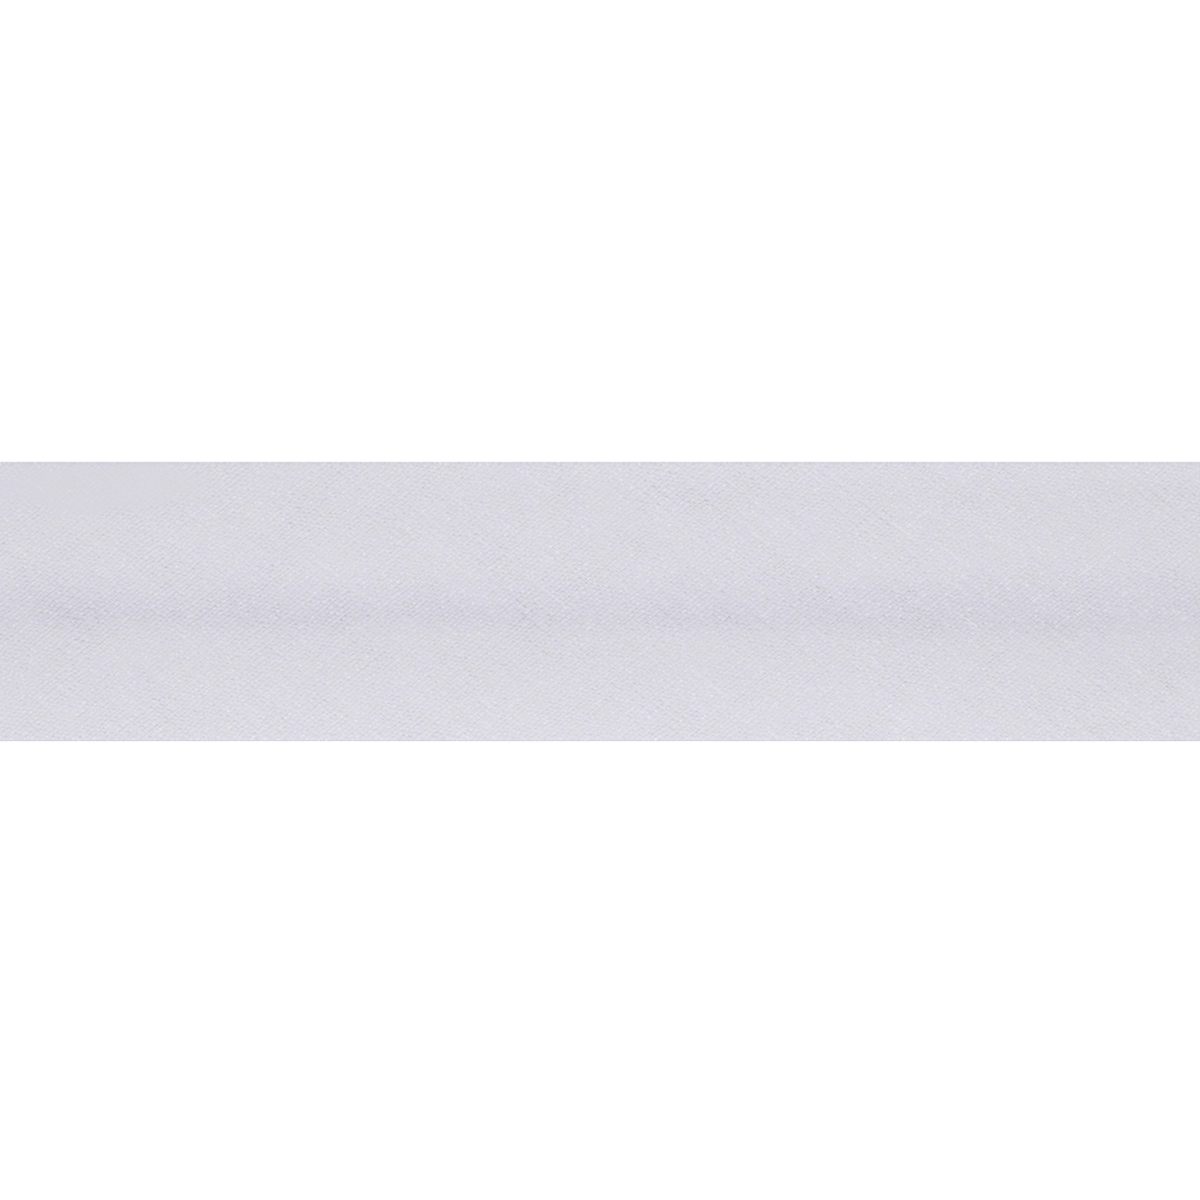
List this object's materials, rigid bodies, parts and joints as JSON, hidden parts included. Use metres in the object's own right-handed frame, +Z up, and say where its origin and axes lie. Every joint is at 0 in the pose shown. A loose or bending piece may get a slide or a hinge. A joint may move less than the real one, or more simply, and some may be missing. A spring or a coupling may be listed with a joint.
{
  "type": "length of folded bias tape",
  "caption": "Cut length of folded bias tape lying face up, both raw edges turned under and pressed, with a shallow trough where the turned edges don't meet.",
  "frame": {"origin": "on the surface the tape rests on, under the middle of the tape's length and width", "axes": "+X along the tape, +Y across it, towards its upper edge in the picture, +Z up out of its right side"},
  "size_m": [0.1, 0.02, 0.0023],
  "materials": {
    "bleached_cotton": "matt plain-woven cotton in a cool white, threads on the bias"
  },
  "bodies": {
    "root": {"bias_tape": "bleached_cotton"}
  },
  "joints": []
}
